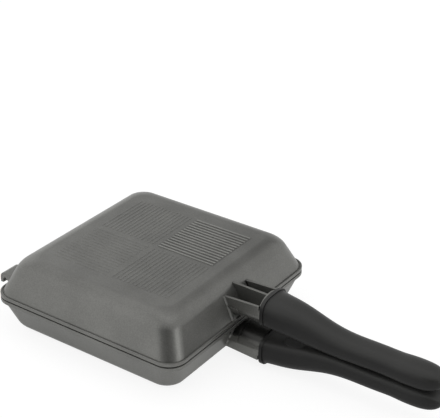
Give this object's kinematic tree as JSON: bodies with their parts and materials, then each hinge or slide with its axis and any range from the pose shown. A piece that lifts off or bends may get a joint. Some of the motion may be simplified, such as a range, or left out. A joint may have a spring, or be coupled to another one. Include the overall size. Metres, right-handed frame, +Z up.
{
  "type": "camping grill pan",
  "caption": "Square folding grill pan for camping: a ribbed lid pan hinged on a base pan, each with a straight handle that pulls off.",
  "frame": {"origin": "centre of the base pan's flat underside, on the floor", "axes": "+X from the hinge towards the handles, +Y across the pan, +Z up"},
  "size_m": [0.3859, 0.2, 0.0675],
  "materials": {
    "pan_coating": "dark grey non-stick coating on cast aluminium, satin",
    "pin_steel": "drawn steel, darkened",
    "grip_plastic": "black moulded phenolic, satin",
    "liner_steel": "pressed sheet steel",
    "button_plastic": "dark grey moulded plastic, fine grain",
    "latch_steel": "stamped steel",
    "spring_steel": "drawn spring wire",
    "magnet_plating": "nickel plated"
  },
  "bodies": {
    "base": {"base_pan": "pan_coating"},
    "hinge_pins": {"hinge_pin_left": "pin_steel", "hinge_pin_right": "pin_steel"},
    "lid": {"lid_pan": "pan_coating"},
    "base_grip": {"base_handle_grip": "grip_plastic", "base_socket_liner": "liner_steel", "base_latch_spring": "spring_steel", "base_grip_magnet": "magnet_plating"},
    "lid_grip": {"lid_handle_grip": "grip_plastic", "lid_socket_liner": "liner_steel", "lid_latch_spring": "spring_steel", "lid_grip_magnet": "magnet_plating"},
    "base_button": {"base_release_button": "button_plastic", "base_latch_plate": "latch_steel"},
    "lid_button": {"lid_release_button": "button_plastic", "lid_latch_plate": "latch_steel"}
  },
  "joints": [
    {"name": "lid_open", "type": "hinge", "parent": "base", "child": "hinge_pins", "pos_m": [-0.1022, 0, 0.0355], "axis": [0, -1, 0], "range_deg": [0, 180]},
    {"name": "lid_unhook", "type": "slide", "parent": "hinge_pins", "child": "lid", "axis": [0, 0, 1], "range_m": [0, 0.03]},
    {"name": "base_handle_off", "type": "slide", "parent": "base", "child": "base_grip", "axis": [1, 0, 0], "range_m": [0, 0.04]},
    {"name": "lid_handle_off", "type": "slide", "parent": "lid", "child": "lid_grip", "axis": [1, 0, 0], "range_m": [0, 0.04]},
    {"name": "base_button_press", "type": "slide", "parent": "base_grip", "child": "base_button", "axis": [0, 0, -1], "range_m": [0, 0.002], "stiffness_N_per_m": 200, "springref_m": -0.004, "deforming": ["base_latch_spring"]},
    {"name": "lid_button_press", "type": "slide", "parent": "lid_grip", "child": "lid_button", "axis": [0, 0, 1], "range_m": [0, 0.002], "stiffness_N_per_m": 200, "springref_m": -0.004, "deforming": ["lid_latch_spring"]}
  ]
}
